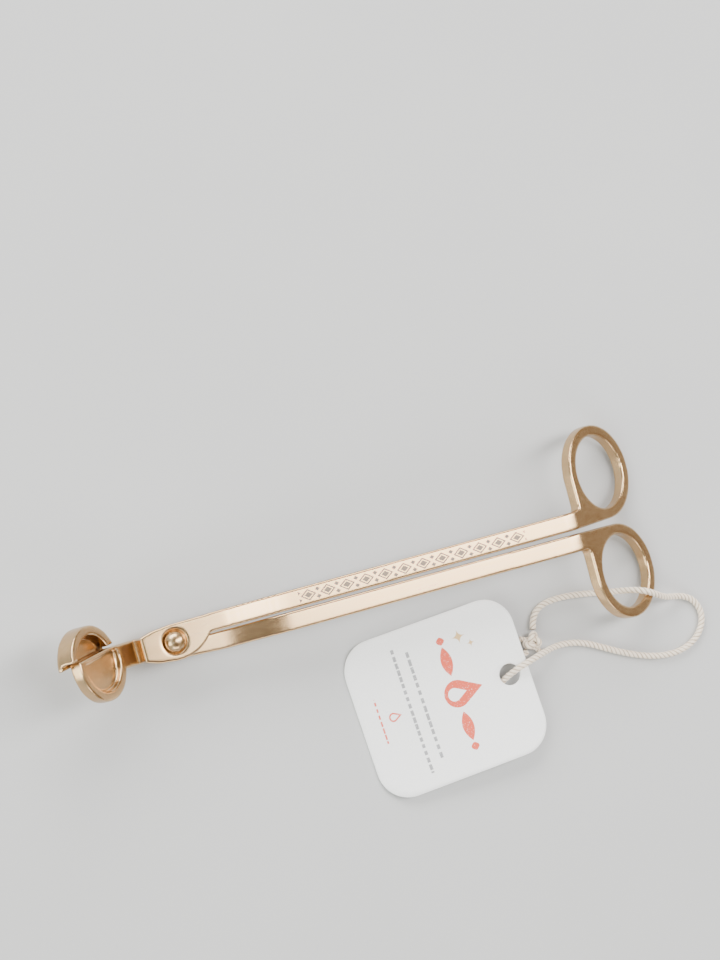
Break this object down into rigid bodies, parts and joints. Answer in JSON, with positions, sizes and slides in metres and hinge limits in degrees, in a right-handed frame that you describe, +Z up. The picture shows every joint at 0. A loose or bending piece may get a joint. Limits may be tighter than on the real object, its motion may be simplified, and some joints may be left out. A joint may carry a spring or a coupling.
{
  "type": "wick trimmer",
  "caption": "Long-handled wick trimmer with crossed, cranked arms on a domed pivot, a dished jaw meeting a crescent jaw, finger rings, and a card tag on a cotton cord.",
  "frame": {"origin": "middle of the metal trimmer's footprint, on the surface that it lies on; the tag and its cord don't count", "axes": "+X towards the finger rings, +Y across the arms towards the front arm's ring, +Z up, out of the faces that the jaws and the rivet's dome look out of"},
  "size_m": [0.1943, 0.0885, 0.0267],
  "materials": {
    "gold_plate": "satin champagne-gold plating on steel, finely brushed along the arms",
    "rivet_gold": "polished champagne-gold plating",
    "card": "uncoated white card, printed on one side",
    "cotton_cord": "undyed twisted cotton"
  },
  "bodies": {
    "rear_arm": {"rear_arm": "gold_plate", "pivot_rivet": "rivet_gold", "tag_card": "card", "tag_cord": "cotton_cord", "tag_knot": "cotton_cord"},
    "front_arm": {"front_arm": "gold_plate"}
  },
  "joints": [
    {"name": "arm_pivot", "type": "hinge", "parent": "rear_arm", "child": "front_arm", "pos_m": [-0.05566, 0.00035, 0.00873], "axis": [-0.0724, 0, 0.9974], "range_deg": [0, 25]}
  ]
}
